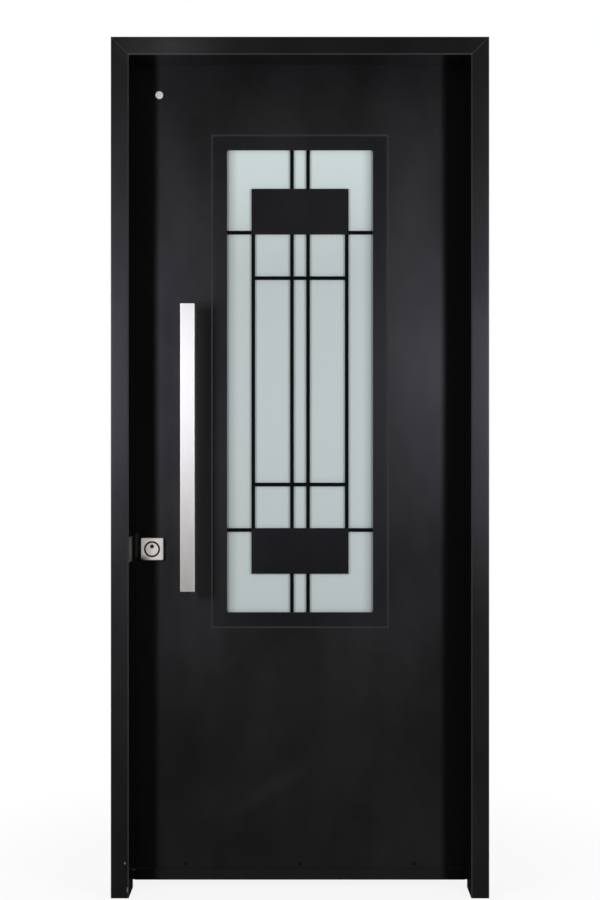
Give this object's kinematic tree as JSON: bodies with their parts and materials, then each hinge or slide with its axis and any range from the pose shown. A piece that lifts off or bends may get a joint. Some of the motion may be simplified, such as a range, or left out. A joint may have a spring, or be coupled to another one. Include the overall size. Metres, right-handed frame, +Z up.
{
  "type": "security door",
  "caption": "Steel entrance door leaf in its folded frame, with a long grilled window, a bar pull handle, a cylinder lock and concealed locking bolts.",
  "frame": {"origin": "on the floor under the frame, half way across its width and half way through the whole depth from the frame's front face to the inside lever", "axes": "+Z up, -Y out of the front (outside) face, +X towards the hinges seen from outside"},
  "size_m": [0.914, 0.2, 2.08],
  "materials": {
    "door_paint": "satin",
    "frame_paint": "satin",
    "bezel_paint": "satin",
    "grille_paint": "satin",
    "frosted_glass": "satin",
    "spacer_aluminium": "satin",
    "stainless": "satin",
    "satin_nickel": "satin",
    "zinc_steel": "satin",
    "brass": "satin",
    "rubber": "matte",
    "strip_black": "matte",
    "dark_screw": "satin",
    "mineral_wool": "matte"
  },
  "bodies": {
    "frame": {"frame_jamb_lock": "frame_paint", "frame_jamb_hinge": "frame_paint", "frame_head": "frame_paint", "wall_anchors": "zinc_steel", "stop_seal": "rubber", "strike_plate": "stainless", "strike_box": "zinc_steel", "strike_screws": "stainless", "head_keeper": "stainless", "dog_pin_keepers": "zinc_steel", "jamb_wear_plate": "stainless", "hinge_frame_bottom": "frame_paint", "hinge_frame_middle": "frame_paint", "hinge_frame_top": "frame_paint", "hinge_pins": "stainless"},
    "leaf": {"badge_disc": "stainless", "bezel_screws": "dark_screw", "bottom_screws": "dark_screw", "bottom_strip": "strip_black", "cylinder_body": "brass", "dog_pins": "stainless", "faceplate_screws": "stainless", "glass_inner": "frosted_glass", "glass_outer": "frosted_glass", "glass_spacer": "spacer_aluminium", "glazing_gasket_inner": "rubber", "glazing_gasket_outer": "rubber", "handle_bolts": "stainless", "hinge_leaf_bottom": "door_paint", "hinge_leaf_middle": "door_paint", "hinge_leaf_top": "door_paint", "inner_lock_rosette": "satin_nickel", "leaf_inner_skin": "door_paint", "leaf_outer_skin": "door_paint", "lever_rosette": "satin_nickel", "lock_case": "zinc_steel", "lock_faceplate": "stainless", "lock_rosette": "satin_nickel", "mineral_wool": "mineral_wool", "pull_handle_bar": "stainless", "pull_handle_caps": "stainless", "pull_handle_posts": "stainless", "rail_bottom": "zinc_steel", "rail_top": "zinc_steel", "stiffener_hinge": "zinc_steel", "stiffener_lock": "zinc_steel", "window_bezel_inner": "bezel_paint", "window_bezel_outer": "bezel_paint", "window_grille": "grille_paint", "window_liner": "zinc_steel"},
    "side_bolts": {"side_bolts": "stainless", "bolt_carriage": "zinc_steel"},
    "upper_rod": {"upper_rod": "zinc_steel"},
    "lower_rod": {"lower_rod": "zinc_steel"},
    "latch": {"latch_bolt": "stainless"},
    "key_plug": {"key_plug": "brass"},
    "thumb_turn": {"thumb_turn": "satin_nickel"},
    "lever": {"inside_lever": "satin_nickel", "lever_follower": "zinc_steel"}
  },
  "joints": [
    {"name": "leaf_swing", "type": "hinge", "parent": "frame", "child": "leaf", "pos_m": [0.43, 0.053, 1.03375], "axis": [0, 0, -1], "range_deg": [0, 110]},
    {"name": "thumb_turn_turn", "type": "hinge", "parent": "leaf", "child": "thumb_turn", "pos_m": [-0.366, 0.055, 0.8434], "axis": [0, 1, 0], "range_deg": [0, 360]},
    {"name": "key_plug_turn", "type": "hinge", "parent": "leaf", "child": "key_plug", "pos_m": [-0.366, 0, 0.8434], "axis": [0, 1, 0], "range_deg": [0, 360]},
    {"name": "side_bolts_slide", "type": "slide", "parent": "leaf", "child": "side_bolts", "axis": [-1, 0, 0], "range_m": [0, 0.02]},
    {"name": "upper_rod_slide", "type": "slide", "parent": "leaf", "child": "upper_rod", "axis": [0, 0, 1], "range_m": [0, 0.015]},
    {"name": "lower_rod_slide", "type": "slide", "parent": "leaf", "child": "lower_rod", "axis": [0, 0, -1], "range_m": [0, 0.015]},
    {"name": "latch_slide", "type": "slide", "parent": "leaf", "child": "latch", "axis": [-1, 0, 0], "range_m": [0, 0.012]},
    {"name": "lever_turn", "type": "hinge", "parent": "leaf", "child": "lever", "pos_m": [-0.366, 0.06, 0.9284], "axis": [0, 1, 0], "range_deg": [0, 45], "stiffness_Nm_per_rad": 1.5, "springref_deg": -20.05}
  ],
  "couplings": [
    {"joint": "thumb_turn_turn", "follows": "side_bolts_slide", "rad_per_m": 314.16},
    {"joint": "key_plug_turn", "follows": "side_bolts_slide", "rad_per_m": 314.16},
    {"joint": "upper_rod_slide", "follows": "side_bolts_slide", "ratio": 0.75},
    {"joint": "lower_rod_slide", "follows": "side_bolts_slide", "ratio": 0.75}
  ]
}
